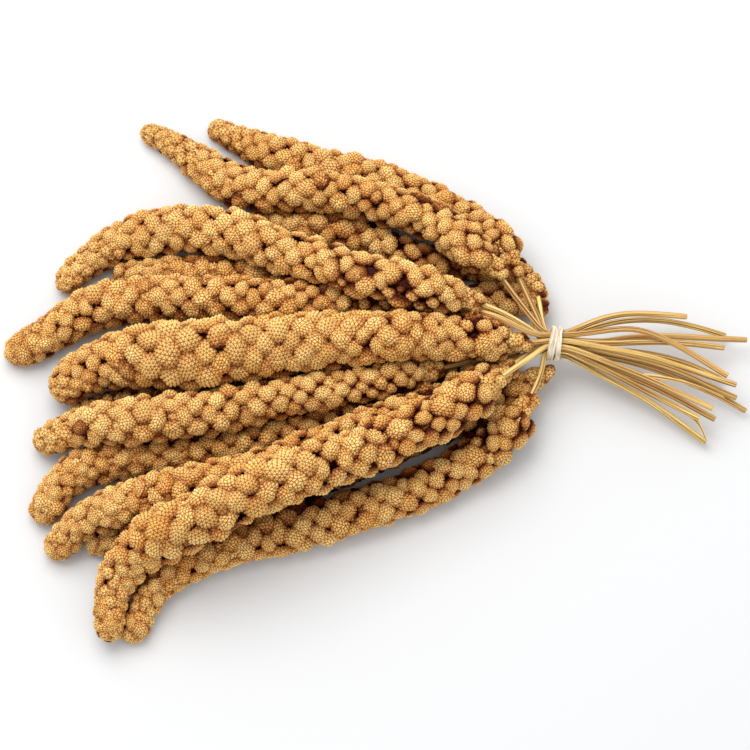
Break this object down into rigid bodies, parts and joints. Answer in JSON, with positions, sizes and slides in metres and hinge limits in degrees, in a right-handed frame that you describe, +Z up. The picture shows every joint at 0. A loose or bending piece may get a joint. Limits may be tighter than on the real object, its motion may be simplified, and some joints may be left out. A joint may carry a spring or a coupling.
{
  "type": "tied millet bunch",
  "caption": "Tied bunch of dried spray millet: long knobbly golden seed heads fanned out one way, their cut straws gathered through an off-white tie, lying down.",
  "frame": {"origin": "on the surface the bunch lies on, under the middle of its bounding box", "axes": "+X along the bunch, from the tips of the heads toward the cut ends of the straws; +Z up from the surface"},
  "size_m": [0.4075, 0.305, 0.0675],
  "materials": {
    "grain": "matt, granular, golden",
    "straw": "satin, fine lengthwise grain",
    "tie": "matt, fibrous, off-white"
  },
  "bodies": {
    "root": {"head_01": "grain", "head_02": "grain", "head_03": "grain", "head_04": "grain", "head_05": "grain", "head_06": "grain", "head_07": "grain", "head_08": "grain", "head_09": "grain", "head_10": "grain", "head_11": "grain", "head_12": "grain", "head_13": "grain", "head_14": "grain", "straw_01": "straw", "straw_02": "straw", "straw_03": "straw", "straw_04": "straw", "straw_05": "straw", "straw_06": "straw", "straw_07": "straw", "straw_08": "straw", "straw_09": "straw", "straw_10": "straw", "straw_11": "straw", "straw_12": "straw", "straw_13": "straw", "straw_14": "straw", "tie_band": "tie"}
  },
  "joints": []
}
